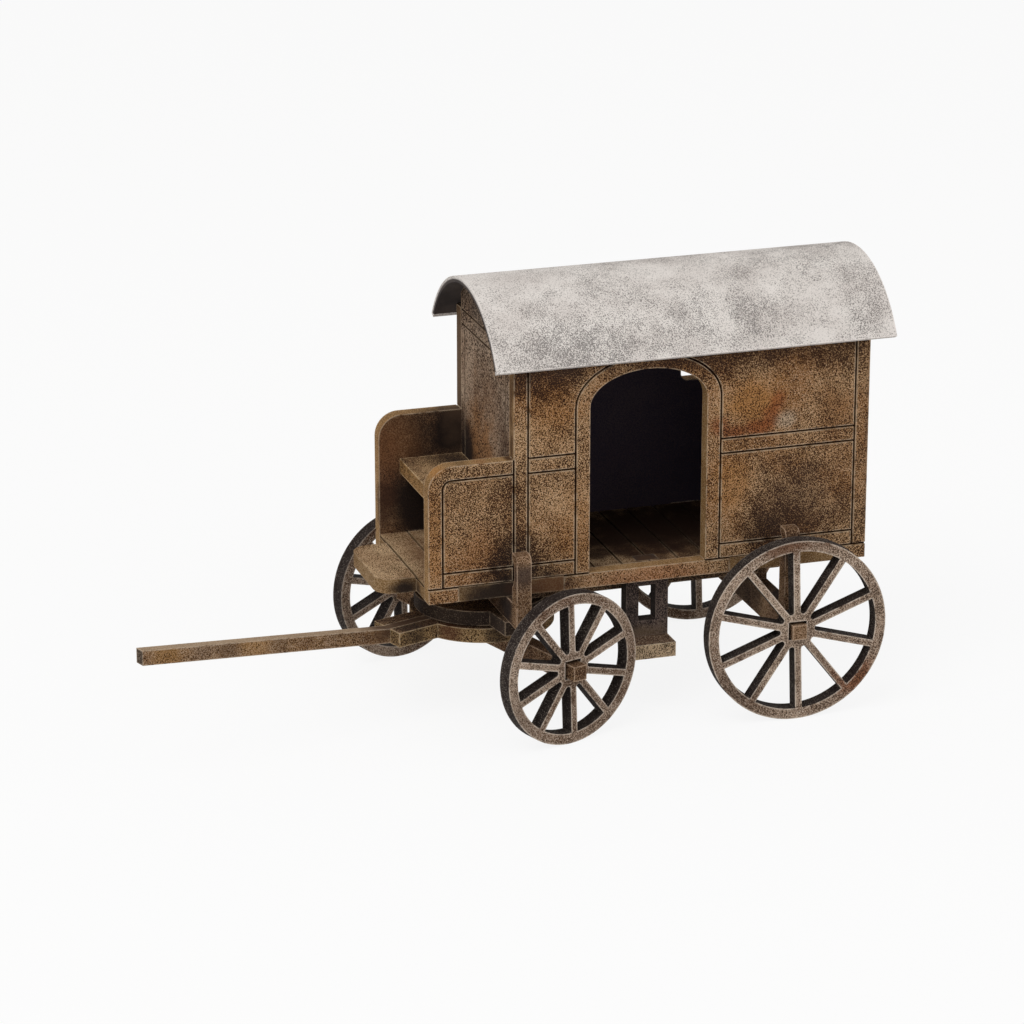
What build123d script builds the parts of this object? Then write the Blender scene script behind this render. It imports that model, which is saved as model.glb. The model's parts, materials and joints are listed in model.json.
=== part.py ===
"""Laser-cut model caravan wagon: sheet parts, spoked wheels and a turning front gear.

Millimetres. X runs forward, Y to the wagon's left, Z up from the ground.
Lengths along the wagon are measured from the rear edge of the side walls.
"""
import os
from math import atan2, cos, degrees, hypot, radians, sin, sqrt

from build123d import *

# Sheet and fits
sheet = 2.0
card = 0.8
fit = 0.05
turn_gap = 0.2

# Body
body_width = 25.0
cab_length = 49.4
footwell_length = 11.6
body_bottom = 18.7
panel_height = 18.65
panel_corner = 3.2

# Engraved lines
groove_width = 0.3
groove_depth = 0.3
frame_width = 1.95
lower_rail = 4.05
middle_rail_low = 16.65
middle_rail_high = 18.7
panel_line_corner = 1.2
end_post = 1.6
end_rail_low = 30.7
end_rail_high = 32.7
plank_pitch = 3.9

# Doorway in the left wall
door_rear = 22.8
door_width = 16.2
door_spring = 24.75
door_rise = 4.6

# Windows in the right wall
window_width = 14.0
window_sill = 19.6
window_height = 9.4
window_corner = 1.0
window_margin = 4.1

# Roof
roof_overhang = 2.9
eave_overhang = 2.0
roof_rise = 8.5
eave_height = 31.2

# Floor, footboard and seat
footboard_reach = 5.25
footboard_width = 14.0
footboard_corner = 2.5
tab_inset = 4.1
tab_door_gap = 3.5
seat_depth = 8.7
seat_height = 12.5

# Wheels and axles
spoke_count = 10
spoke_width = 0.95
spoke_turn = 2.0
rim_width = 1.45
hub_radius = 2.4
spoke_root = 0.35
spoke_foot = 0.3
tenon = 2.0
hub_play = 0.2
rear_wheel_diameter = 25.0
front_wheel_diameter = 20.7
wheel_gap = 1.0
rear_axle_x = 12.45
tenon_end_rear = 0.35
tenon_end_front = 1.35

# Stakes and bolsters
front_stake_gap = 2.4
rear_stake_gap = 3.1
stake_width = 2.0
stake_height = 6.9
stake_crown = 0.9
stake_notch = 1.0
stake_notch_radius = 2.6
stake_notch_drop = 2.7
rear_beam_depth = 4.2
rear_beam_drop = 1.9
pedestal_gap = 6.5
flange_gap = 2.0
flange_depth = 0.9
stake_foot_radius = 1.0
axle_shoulder = 0.6
rail_inset = 5.5
rail_depth = 2.4

# Turntable and pole
king_lead = 0.5
king_pin_diameter = 3.0
upper_disc_diameter = 18.2
lower_disc_diameter = 19.4
bolster_depth = 3.2
arm_reach = 13.4
arm_root = 6.0
fork_width = 5.8
fork_reach = 15.4
pole_width = 1.5
pole_root = 7.0
pole_reach = 53.3
pole_tip_height = 17.8
front_beam_depth = 2.5
steer = 18.4

# Step under the doorway
step_x = 30.0
step_width = 5.9
step_window_width = 2.4
step_bar = 2.2
step_top_bar = 1.5
tread_top = 9.95
tread_reach = 5.3
step_tab = 3.0

# Places that follow from the sizes
side_length = cab_length + footwell_length
half_body = body_width / 2
half_inside = half_body - sheet
floor_top = body_bottom + sheet
panel_top = body_bottom + panel_height
eave_z = body_bottom + eave_height
roof_width = body_width + 2 * eave_overhang
roof_radius = ((roof_width / 2) ** 2 + roof_rise ** 2) / (2 * roof_rise)
roof_axis_z = eave_z + roof_rise - roof_radius
roof_inner = roof_radius - card
wall_top = roof_axis_z + sqrt(roof_inner ** 2 - half_body ** 2)
rear_axle_z = rear_wheel_diameter / 2 - hub_play
front_axle_z = front_wheel_diameter / 2 - hub_play
king_x = cab_length + king_lead
upper_disc_top = body_bottom - bolster_depth
upper_disc_z = upper_disc_top - sheet
lower_disc_top = upper_disc_z - turn_gap
lower_disc_z = lower_disc_top - sheet
front_stake = half_body + front_stake_gap
rear_stake = half_body + rear_stake_gap
beam_end = rear_stake + stake_width
wheel_inner = beam_end + wheel_gap
wheel_outer = wheel_inner + sheet
stake_top = body_bottom + stake_height
pedestal_width = body_width - 2 * pedestal_gap
flange_width = body_width - 2 * flange_gap
rail_spacing = body_width - 2 * rail_inset
rail_outer = (rail_spacing + sheet) / 2
step_y = rail_outer + sheet
door_front = door_rear + door_width
spring_z = body_bottom + door_spring
tab_spans = ((tab_inset, door_rear - tab_door_gap), (door_front + tab_door_gap, side_length - tab_inset))
front_reach = king_x + pole_reach * cos(radians(steer)) + pole_width / 2 * sin(radians(steer))
x_shift = -(front_reach - roof_overhang) / 2

os.makedirs("parts", exist_ok=True)


def level(z, x=0.0, turn=0.0):
    """A flat sketch plane at height z, with its X forward, turned about its own centre."""
    heading = (cos(radians(turn)), sin(radians(turn)), 0)
    return Plane(origin=(x + x_shift, 0, z), x_dir=heading, z_dir=(0, 0, 1))


def across(x, turn=0.0, ahead=0.0):
    """A plane across the wagon, sketched left and up; the sheet grows forward from it."""
    heading = (cos(radians(turn)), sin(radians(turn)), 0)
    left = (-heading[1], heading[0], 0)
    origin = (x + x_shift + ahead * heading[0], ahead * heading[1], 0)
    return Plane(origin=origin, x_dir=left, z_dir=heading)


def along(y, x=0.0, turn=0.0):
    """A plane along the wagon, sketched forward and up; the sheet grows to the right of it."""
    heading = (cos(radians(turn)), sin(radians(turn)), 0)
    origin = (x + x_shift - y * heading[1], y * heading[0], 0)
    return Plane(origin=origin, x_dir=heading, z_dir=(heading[1], -heading[0], 0))


def box_sketch(low_x, high_x, low_y, high_y, mode=Mode.ADD):
    """A rectangle between two corners of the sketch."""
    centre = ((low_x + high_x) / 2, (low_y + high_y) / 2)
    with Locations(centre):
        Rectangle(high_x - low_x, high_y - low_y, mode=mode)


def side_outline():
    """The side wall: cab, footwell panel with its round corner, and notches for the floor tabs."""
    box_sketch(0, cab_length, body_bottom, wall_top)
    box_sketch(cab_length, side_length, body_bottom, panel_top)
    fillet(vertices().group_by(Axis.X)[-1].sort_by(Axis.Y)[-1], radius=panel_corner)
    for start, end in tab_spans:
        box_sketch(start - fit, end + fit, body_bottom, floor_top, mode=Mode.SUBTRACT)


def flat_line(start, end, height):
    """A level engraved line on a wall, from start to end."""
    box_sketch(start, end, height - groove_width / 2, height + groove_width / 2)


def upright_line(place, bottom, top):
    """An upright engraved line on a wall."""
    box_sketch(place - groove_width / 2, place + groove_width / 2, bottom, top)


def side_lines(spans):
    """Posts, rails and the footwell panel's frame; the rails cover only the given spans."""
    post = cab_length - frame_width
    for place, top in ((frame_width, wall_top), (post, wall_top), (cab_length, panel_top)):
        upright_line(place, floor_top, top)
    for rail in (lower_rail, middle_rail_low, middle_rail_high):
        for start, end in spans:
            flat_line(start, end, body_bottom + rail)
    panel_front = side_length - frame_width
    flat_line(cab_length, panel_front, body_bottom + lower_rail)
    with BuildLine() as frame:
        FilletPolyline((panel_front, floor_top), (panel_front, panel_top - frame_width),
                       (cab_length, panel_top - frame_width), radius=panel_line_corner)
    trace(frame.edges(), line_width=groove_width)


def door_lines():
    """The door frame's engraved outline, round the doorway at the frame's width."""
    for place in (door_rear - frame_width, door_front + frame_width):
        upright_line(place, floor_top, spring_z)
    half_width = door_width / 2 + frame_width
    rise = door_rise + frame_width
    with BuildSketch(mode=Mode.PRIVATE) as arch:
        Ellipse(half_width + groove_width / 2, rise + groove_width / 2)
        Ellipse(half_width - groove_width / 2, rise - groove_width / 2, mode=Mode.SUBTRACT)
        box_sketch(-door_width, door_width, -door_width, 0, mode=Mode.SUBTRACT)
    with Locations((door_rear + door_width / 2, spring_z)):
        add(arch.sketch)


def end_outline():
    """An end wall between the side walls, standing on the floor and rounded under the roof."""
    side_top = roof_axis_z + sqrt(roof_inner ** 2 - half_inside ** 2)
    with BuildLine() as edge:
        Polyline((half_inside, side_top), (half_inside, floor_top), (-half_inside, floor_top),
                 (-half_inside, side_top))
        ThreePointArc((-half_inside, side_top), (0, roof_axis_z + roof_inner), (half_inside, side_top))
    make_face(edge.edges())


def end_lines():
    """Posts and two top rails engraved on an end wall."""
    for side in (-1, 1):
        upright_line(side * (half_inside - end_post), floor_top, body_bottom + end_rail_low)
    for rail in (end_rail_low, end_rail_high):
        flat_line(-half_inside, half_inside, body_bottom + rail)


def wheel_outline(diameter):
    """A flat spoked wheel with rounded spoke ends and a square hole that is loose on its tenon."""
    rim_inside = diameter / 2 - rim_width
    Circle(diameter / 2)
    with BuildSketch(mode=Mode.PRIVATE) as windows:
        Circle(rim_inside)
        Circle(hub_radius, mode=Mode.SUBTRACT)
        with PolarLocations(rim_inside / 2, spoke_count, start_angle=90 - spoke_turn):
            Rectangle(rim_inside + hub_radius, spoke_width, mode=Mode.SUBTRACT)
        rings = vertices().group_by(lambda corner: round(hypot(corner.X, corner.Y), 2))
        fillet(rings[0], radius=spoke_root)
        fillet(rings[-1], radius=spoke_foot)
    add(windows.sketch, mode=Mode.SUBTRACT)
    hole = tenon + 2 * hub_play + 2 * fit
    Rectangle(hole, hole, mode=Mode.SUBTRACT)


def stake_outline(side, inner, foot_z):
    """One upright stake beside the body, round on top and hollowed on its inner side."""
    low, high = sorted((side * inner, side * (inner + stake_width)))
    with BuildSketch(mode=Mode.PRIVATE) as stake:
        box_sketch(low, high, foot_z, stake_top)
        tops = vertices().group_by(Axis.Y)[-1]
        fillet(tops.sort_by(lambda corner: side * corner.X)[-1], radius=stake_crown)
        hollow = side * (inner + stake_notch - stake_notch_radius)
        with Locations((hollow, stake_top - stake_notch_drop)):
            Circle(stake_notch_radius, mode=Mode.SUBTRACT)
    add(stake.sketch)


# Floor with its tabs and the round-cornered footboard
with BuildPart() as floor:
    with BuildSketch(level(body_bottom)):
        box_sketch(0, side_length, -half_inside, half_inside)
        box_sketch(side_length, side_length + footboard_reach, -footboard_width / 2, footboard_width / 2)
        fillet(vertices().group_by(Axis.X)[-1], radius=footboard_corner)
        for start, end in tab_spans:
            box_sketch(start, end, -half_body, half_body)
        box_sketch(step_x - step_tab / 2 - fit, step_x + step_tab / 2 + fit, rail_outer, step_y,
                   mode=Mode.SUBTRACT)
    extrude(amount=sheet)
    with BuildSketch(level(floor_top)):
        for plank in range(int(side_length / plank_pitch) + 1):
            upright_line(side_length - plank * plank_pitch, -half_inside, half_inside)
    extrude(amount=-groove_depth, mode=Mode.SUBTRACT)

# Side walls: doorway on the left, windows on the right
with BuildPart() as side_wall_left:
    with BuildSketch(along(half_body)):
        side_outline()
        box_sketch(door_rear, door_front, floor_top, spring_z, mode=Mode.SUBTRACT)
        with Locations(((door_rear + door_front) / 2, spring_z)):
            Ellipse(door_width / 2, door_rise, mode=Mode.SUBTRACT)
    extrude(amount=sheet)
    with BuildSketch(along(half_body)):
        rear_span = (frame_width, door_rear - frame_width)
        front_span = (door_front + frame_width, cab_length - frame_width)
        side_lines((rear_span, front_span))
        flat_line(0, door_rear, floor_top)
        flat_line(door_front, side_length, floor_top)
        door_lines()
    extrude(amount=groove_depth, mode=Mode.SUBTRACT)

with BuildPart() as side_wall_right:
    with BuildSketch(along(-half_inside)):
        side_outline()
        first = window_margin + window_width / 2
        for middle in (first, cab_length - first):
            with Locations((middle, body_bottom + window_sill + window_height / 2)):
                RectangleRounded(window_width, window_height, window_corner, mode=Mode.SUBTRACT)
    extrude(amount=sheet)
    with BuildSketch(along(-half_body)):
        side_lines(((frame_width, cab_length - frame_width),))
        flat_line(0, side_length, floor_top)
    extrude(amount=-groove_depth, mode=Mode.SUBTRACT)

# End walls
with BuildPart() as front_wall:
    with BuildSketch(across(cab_length - sheet)):
        end_outline()
    extrude(amount=sheet)
    with BuildSketch(across(cab_length)):
        end_lines()
    extrude(amount=-groove_depth, mode=Mode.SUBTRACT)

with BuildPart() as rear_wall:
    with BuildSketch(across(0)):
        end_outline()
    extrude(amount=sheet)
    with BuildSketch(across(0)):
        end_lines()
    extrude(amount=groove_depth, mode=Mode.SUBTRACT)

# Roof: a bent card sheet
eave_angle = degrees(atan2(eave_z - roof_axis_z, roof_width / 2))
with BuildPart() as roof:
    with BuildSketch(across(-roof_overhang)):
        with BuildLine():
            outer = CenterArc((0, roof_axis_z), roof_radius, eave_angle, 180 - 2 * eave_angle)
            inner = CenterArc((0, roof_axis_z), roof_inner, eave_angle, 180 - 2 * eave_angle)
            Line(outer @ 0, inner @ 0)
            Line(outer @ 1, inner @ 1)
        make_face()
    extrude(amount=cab_length + 2 * roof_overhang)

# Seat board between the footwell panels
with BuildPart() as seat_board:
    with BuildSketch(level(body_bottom + seat_height - sheet)):
        box_sketch(cab_length, cab_length + seat_depth, -half_inside, half_inside)
    extrude(amount=sheet)

# Rear axle plate: beam, pedestal under the floor, stakes and square tenons
rear_beam_top = rear_axle_z - rear_beam_drop + rear_beam_depth
with BuildPart() as rear_axle:
    with BuildSketch(across(rear_axle_x - sheet / 2)):
        box_sketch(-beam_end, beam_end, rear_axle_z - rear_beam_drop, rear_beam_top)
        box_sketch(-pedestal_width / 2, pedestal_width / 2, rear_beam_top, body_bottom)
        box_sketch(-flange_width / 2, flange_width / 2, body_bottom - flange_depth, body_bottom)
        for side in (-1, 1):
            stake_outline(side, rear_stake, rear_beam_top)
        feet = vertices().group_by(lambda corner: abs(corner.Y - rear_beam_top) > fit)[0]
        inner_feet = feet.group_by(lambda corner: abs(abs(corner.X) - rear_stake) > fit)[0]
        fillet(inner_feet, radius=stake_foot_radius)
        shoulder = tenon / 2 + axle_shoulder
        box_sketch(-wheel_inner, wheel_inner, rear_axle_z - shoulder, rear_axle_z + shoulder)
        end = wheel_outer + tenon_end_rear
        box_sketch(-end, end, rear_axle_z - tenon / 2, rear_axle_z + tenon / 2)
    extrude(amount=sheet)

# Front bolster fixed under the body, with its stakes
with BuildPart() as front_bolster:
    with BuildSketch(across(cab_length - sheet / 2)):
        bolster_end = front_stake + stake_width
        box_sketch(-bolster_end, bolster_end, upper_disc_top, body_bottom)
        for side in (-1, 1):
            stake_outline(side, front_stake, body_bottom)
    extrude(amount=sheet)

# Chassis rails from the rear axle plate to the front bolster
rails = {}
for name, side in (("chassis_rail_left", 1), ("chassis_rail_right", -1)):
    with BuildPart() as rails[name]:
        with BuildSketch(along((side * rail_spacing + sheet) / 2)):
            box_sketch(rear_axle_x + sheet / 2, cab_length - sheet / 2, body_bottom - rail_depth, body_bottom)
        extrude(amount=sheet)

# Upper turntable: disc with arms under the bolster
with BuildPart() as upper_turntable:
    with BuildSketch(level(upper_disc_z, king_x)):
        Circle(upper_disc_diameter / 2)
        for side in (-1, 1):
            with BuildLine():
                Polyline((-arm_root / 2, 0), (arm_root / 2, 0), (sheet / 2, side * arm_reach),
                         (-sheet / 2, side * arm_reach), close=True)
            make_face()
        Circle(king_pin_diameter / 2, mode=Mode.SUBTRACT)
    extrude(amount=sheet)

with BuildPart() as king_pin:
    with BuildSketch(level(lower_disc_z + turn_gap, king_x)):
        Circle(king_pin_diameter / 2)
    extrude(amount=upper_disc_top - lower_disc_z - turn_gap)

# Turning gear: lower turntable with the fork, pole and front axle
with BuildPart() as lower_turntable:
    with BuildSketch(level(lower_disc_z, king_x, steer)):
        Circle(lower_disc_diameter / 2)
        box_sketch(0, fork_reach, -fork_width / 2, fork_width / 2)
        box_sketch(pole_root, fork_reach, -pole_width / 2, pole_width / 2, mode=Mode.SUBTRACT)
        Circle(king_pin_diameter / 2 + fit, mode=Mode.SUBTRACT)
    extrude(amount=sheet)

with BuildPart() as pole:
    with BuildSketch(along(pole_width / 2, king_x, steer)):
        with BuildLine():
            Polyline((pole_root, lower_disc_z), (fork_reach, lower_disc_z),
                     (pole_reach, pole_tip_height - sheet / 2), (pole_reach, pole_tip_height + sheet / 2),
                     (fork_reach, lower_disc_top), (pole_root, lower_disc_top), close=True)
        make_face()
    extrude(amount=pole_width)

with BuildPart() as front_axle:
    with BuildSketch(across(king_x, steer, -sheet / 2)):
        box_sketch(-bolster_end, bolster_end, lower_disc_z - front_beam_depth, lower_disc_z)
        shoulder_low = front_axle_z - tenon / 2 - axle_shoulder
        box_sketch(-wheel_inner, wheel_inner, shoulder_low, lower_disc_z)
        end = wheel_outer + tenon_end_front
        box_sketch(-end, end, front_axle_z - tenon / 2, front_axle_z + tenon / 2)
    extrude(amount=sheet)

# Step under the doorway
step_rear = step_x - step_width / 2
with BuildPart() as step_frame:
    with BuildSketch(along(step_y)):
        box_sketch(step_rear, step_rear + step_width, tread_top, body_bottom)
        box_sketch(step_x - step_tab / 2, step_x + step_tab / 2, body_bottom, floor_top)
        box_sketch(step_x - step_window_width / 2, step_x + step_window_width / 2,
                   tread_top + step_bar, body_bottom - step_top_bar, mode=Mode.SUBTRACT)
    extrude(amount=sheet)

with BuildPart() as step_tread:
    with BuildSketch(level(tread_top - sheet)):
        box_sketch(step_rear, step_rear + step_width, rail_outer, rail_outer + tread_reach)
    extrude(amount=sheet)

# Wheels: name, diameter, place along the wagon, side, turn
wheel_table = (
    ("rear_wheel_left", rear_wheel_diameter, rear_axle_x, 1, 0.0),
    ("rear_wheel_right", rear_wheel_diameter, rear_axle_x, -1, 0.0),
    ("front_wheel_left", front_wheel_diameter, king_x, 1, steer),
    ("front_wheel_right", front_wheel_diameter, king_x, -1, steer),
)
wheels = {}
for name, diameter, place, side, turn in wheel_table:
    hub_y = side * (wheel_inner + wheel_outer) / 2 + sheet / 2
    with BuildPart() as wheels[name]:
        with BuildSketch(along(hub_y, place, turn)):
            with Locations((side * hub_play, diameter / 2)):
                with BuildSketch(mode=Mode.PRIVATE) as outline:
                    wheel_outline(diameter)
                add(outline.sketch)
        extrude(amount=sheet)

nodes = {
    "floor": floor,
    "side_wall_left": side_wall_left,
    "side_wall_right": side_wall_right,
    "front_wall": front_wall,
    "rear_wall": rear_wall,
    "roof": roof,
    "seat_board": seat_board,
    "rear_axle": rear_axle,
    "front_bolster": front_bolster,
    "upper_turntable": upper_turntable,
    "king_pin": king_pin,
    "lower_turntable": lower_turntable,
    "pole": pole,
    "front_axle": front_axle,
    "step_frame": step_frame,
    "step_tread": step_tread,
}
nodes.update(rails)
nodes.update(wheels)
for name, piece in nodes.items():
    piece.part.label = name
    export_step(piece.part, f"parts/{name}.step")
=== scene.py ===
# %% [markdown]
# # A laser-cut model caravan wagon
# This lesson dresses a small fibreboard model of a horse-drawn caravan wagon. The cut pieces come
# ready-made from the CAD frame, at their true size in metres, so most of the work is paint: brown
# stipple, black wash, dry-brushed rims, burnt cut edges and a grey card roof.

# %% Load the cut pieces
import json
import math

import bpy
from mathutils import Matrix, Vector


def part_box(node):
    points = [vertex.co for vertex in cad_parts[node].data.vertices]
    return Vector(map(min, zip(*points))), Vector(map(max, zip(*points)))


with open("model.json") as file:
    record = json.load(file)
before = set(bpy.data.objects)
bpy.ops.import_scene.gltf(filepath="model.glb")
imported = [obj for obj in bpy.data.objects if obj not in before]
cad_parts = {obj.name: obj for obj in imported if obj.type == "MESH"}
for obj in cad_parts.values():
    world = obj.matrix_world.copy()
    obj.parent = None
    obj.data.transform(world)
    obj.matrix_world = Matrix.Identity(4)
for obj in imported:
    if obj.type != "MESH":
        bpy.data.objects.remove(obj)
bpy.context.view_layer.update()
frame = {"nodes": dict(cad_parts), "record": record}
nodes = frame["nodes"]
record = frame["record"]
MM = 0.001
print("pieces loaded:", len(nodes))

# %% [markdown]
# ## Where things are
# Paint follows the pieces, so its places are worked out from the pieces' own boxes. The wagon's
# length is counted from the rear edge of the side wall, and height from the underside of the body.
# The front gear is turned a little, and the pole's direction says how much.

# %% Places read from the frame
wall_low, wall_high = (Vector(corner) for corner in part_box("side_wall_left"))
REAR_X = wall_low.x
BODY_Z = wall_low.z
OUTER_Y = wall_high.y
SHEET = 2 * MM
RIGHT_Y = -OUTER_Y
RIGHT_INNER_Y = RIGHT_Y + SHEET
FRONT_WALL_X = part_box("front_wall")[1][0]
REAR_WALL_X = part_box("rear_wall")[0][0]
pole_mount = next(mount for mount in record["mounts"] if mount["name"] == "pole_tip")
pole_way = Vector(pole_mount["axis"])
FORWARD = Vector((1, 0, 0))
LEFT = Vector((0, 1, 0))
UP = Vector((0, 0, 1))
GEAR_LEFT = UP.cross(pole_way)


def spot_place(length, height, side=OUTER_Y):
    """A place on the wagon: millimetres from its rear edge and above its underside, and metres aside."""
    return (REAR_X + length * MM, side, BODY_Z + height * MM)


print("gear turned by", round(math.degrees(math.atan2(pole_way.y, pole_way.x)), 1), "degrees")

# %% [markdown]
# ## Building node trees by name
# A node tree could be wired by hand in the shader editor, but written out in full it is long. These
# helpers add a node, fill its sockets with numbers or with links, and open a new group with named
# inputs and outputs.

# %% Nodes and groups
def fill_socket(tree, socket, value):
    """Links another node's output to a socket, or sets a number or colour on it."""
    if isinstance(value, bpy.types.NodeSocket):
        tree.links.new(value, socket)
    else:
        socket.default_value = value


def add_node(tree, kind, sockets=None, **settings):
    """Adds a node with its settings and sockets."""
    new = tree.nodes.new(kind)
    for key, value in settings.items():
        setattr(new, key, value)
    for key, value in (sockets or {}).items():
        fill_socket(tree, new.inputs[key], value)
    return new


def new_group(name, inputs, outputs):
    """Opens a node group; returns its tree, its inputs by name and its output node."""
    tree = bpy.data.node_groups.new(name, "ShaderNodeTree")
    for label, kind, value in inputs:
        socket = tree.interface.new_socket(label, in_out="INPUT", socket_type=kind)
        socket.default_value = value
    for label in outputs:
        tree.interface.new_socket(label, in_out="OUTPUT", socket_type="NodeSocketFloat")
    entry = tree.nodes.new("NodeGroupInput")
    leave = tree.nodes.new("NodeGroupOutput")
    return tree, entry.outputs, leave.inputs


def use_group(tree, group, **values):
    """Places a group in a material; underscores in the names stand for spaces."""
    placed = add_node(tree, "ShaderNodeGroup", node_tree=group)
    for key, value in values.items():
        fill_socket(tree, placed.inputs[key.replace("_", " ")], value)
    return placed.outputs


def tell_group(group):
    """Says what a finished node group holds."""
    print("group", group.name, "has", len(group.nodes), "nodes")


print("node groups so far:", len(bpy.data.node_groups))

# %% [markdown]
# ## Sums on masks and colours
# Every effect below is a mask from 0 to 1 that is multiplied, spread and used to lay one colour over
# another. Patterns read Object coordinates, so they stay on the piece when it moves.

# %% Sums and colours
PLAIN_NUMBERS = ("DOT_PRODUCT", "LENGTH")
NUMBER, VECTOR = "NodeSocketFloat", "NodeSocketVector"


def math_node(tree, operation, first, second=0.0):
    """One sum on two values."""
    return add_node(tree, "ShaderNodeMath", {0: first, 1: second}, operation=operation).outputs[0]


def times(tree, first, second):
    """One value or mask multiplied by another."""
    return math_node(tree, "MULTIPLY", first, second)


def vector_node(tree, operation, first, second=(0, 0, 0)):
    """One sum on two vectors; a dot product or a length gives a plain number."""
    outputs = add_node(tree, "ShaderNodeVectorMath", {0: first, 1: second}, operation=operation).outputs
    return outputs["Value" if operation in PLAIN_NUMBERS else "Vector"]


def ramp(tree, value, low, high, start=0.0, end=1.0):
    """Spreads a value between two levels, with soft ends."""
    sockets = {"Value": value, "From Min": low, "From Max": high, "To Min": start, "To Max": end}
    return add_node(tree, "ShaderNodeMapRange", sockets, interpolation_type="SMOOTHSTEP").outputs[0]


def object_place(tree):
    """A point's place on the piece itself."""
    return add_node(tree, "ShaderNodeTexCoord").outputs["Object"]


def object_normal(tree):
    """The way that the piece's surface faces at a point."""
    return add_node(tree, "ShaderNodeTexCoord").outputs["Normal"]


def noise(tree, place, scale, detail, roughness=0.5):
    """Plain noise from 0 to 1."""
    sockets = {"Vector": place, "Scale": scale, "Detail": detail, "Roughness": roughness}
    return add_node(tree, "ShaderNodeTexNoise", sockets).outputs[0]


def mix_colour(tree, amount, below, above):
    """Lays one colour over another."""
    mixer = add_node(tree, "ShaderNodeMix", data_type="RGBA")
    values = {"Factor_Float": amount, "A_Color": below, "B_Color": above}
    for socket in mixer.inputs:
        if socket.identifier in values:
            fill_socket(tree, socket, values[socket.identifier])
    return next(out for out in mixer.outputs if out.identifier == "Result_Color")


def lay(tree, colour, mask, strength, tint):
    """Lays a tint over a colour where a mask shows, as strongly as it is told."""
    return mix_colour(tree, times(tree, mask, strength), colour, tint)


def paint(red, green, blue):
    """A screen colour from 0 to 255, turned into the linear colour that shaders use."""
    channels = []
    for level in (red, green, blue):
        part = level / 255
        channels.append(part / 12.92 if part <= 0.04045 else ((part + 0.055) / 1.055) ** 2.4)
    return (*channels, 1.0)


print("middle grey in linear colour:", round(paint(128, 128, 128)[0], 3))

# %% [markdown]
# ## Effects that several finishes share
# Each effect is a node group, built once and placed in many materials. The first finds the faces
# that look sideways out of a sheet: there a laser cut the board and left it burnt.

# %% Group: burnt cut edges
EDGE_SURE, EDGE_NEVER = 0.45, 0.75
burnt_edge, given, leave = new_group("burnt_edge", [("Sheet Axis", VECTOR, (0, 0, 1))], ["Edge"])
facing = vector_node(burnt_edge, "DOT_PRODUCT", object_normal(burnt_edge), given["Sheet Axis"])
facing = math_node(burnt_edge, "ABSOLUTE", facing)
burnt_edge.links.new(ramp(burnt_edge, facing, EDGE_SURE, EDGE_NEVER, 1.0, 0.0), leave["Edge"])
tell_group(burnt_edge)

# %% [markdown]
# The stipple looks dabbed on with a stiff brush. A pattern of cells would give round, even dots, so
# two noises of similar size are averaged instead, and what rises over a level is a dot. A slower
# noise moves that level, which makes the dots clump.

# %% Group: stipple
DOT_SCALE = 8600.0
STIPPLE_TURN = (0.6, 0.4, 0.9)
LARGER_DOTS = 0.7
BARE_LEVEL, COVER_DROP = 0.63, 0.26
CLUMP_SCALE, CLUMP_SHARE = 700.0, 0.1
DOT_SOFTNESS = 0.025
PALE_FROM, PALE_FULL = -0.05, -0.15
stipple, given, leave = new_group("stipple", [
    ("Scale", NUMBER, DOT_SCALE), ("Cover", NUMBER, 0.5), ("Offset", VECTOR, (0, 0, 0))],
    ["Dots", "Lights", "Grain"])
moved = vector_node(stipple, "ADD", object_place(stipple), given["Offset"])
askew = add_node(stipple, "ShaderNodeVectorRotate", {"Vector": moved, "Rotation": STIPPLE_TURN},
                 rotation_type="EULER_XYZ").outputs[0]
small = noise(stipple, askew, given["Scale"], 1.0, 0.6)
large = noise(stipple, askew, times(stipple, given["Scale"], LARGER_DOTS), 1.0, 0.6)
fine = math_node(stipple, "ADD", times(stipple, small, 0.5), times(stipple, large, 0.5))
clump = math_node(stipple, "SUBTRACT", noise(stipple, moved, CLUMP_SCALE, 3.0), 0.5)
level = math_node(stipple, "SUBTRACT", BARE_LEVEL, times(stipple, given["Cover"], COVER_DROP))
level = math_node(stipple, "ADD", level, times(stipple, clump, CLUMP_SHARE))
depth = math_node(stipple, "SUBTRACT", fine, level)
stipple.links.new(ramp(stipple, depth, -DOT_SOFTNESS, DOT_SOFTNESS), leave["Dots"])
stipple.links.new(ramp(stipple, depth, PALE_FROM, PALE_FULL), leave["Lights"])
stipple.links.new(fine, leave["Grain"])
tell_group(stipple)

# %% [markdown]
# Broad patches let two colours drift into each other, as thin paint does on raw board.

# %% Group: broad patches
patches, given, leave = new_group("patches", [
    ("Scale", NUMBER, 150.0), ("Level", NUMBER, 0.5), ("Spread", NUMBER, 0.12),
    ("Offset", VECTOR, (0, 0, 0))], ["Patch"])
moved = vector_node(patches, "ADD", object_place(patches), given["Offset"])
broad = noise(patches, moved, given["Scale"], 5.0, 0.6)
height = math_node(patches, "SUBTRACT", broad, given["Level"])
height = math_node(patches, "DIVIDE", height, given["Spread"])
patches.links.new(ramp(patches, height, -1.0, 1.0), leave["Patch"])
tell_group(patches)
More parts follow.
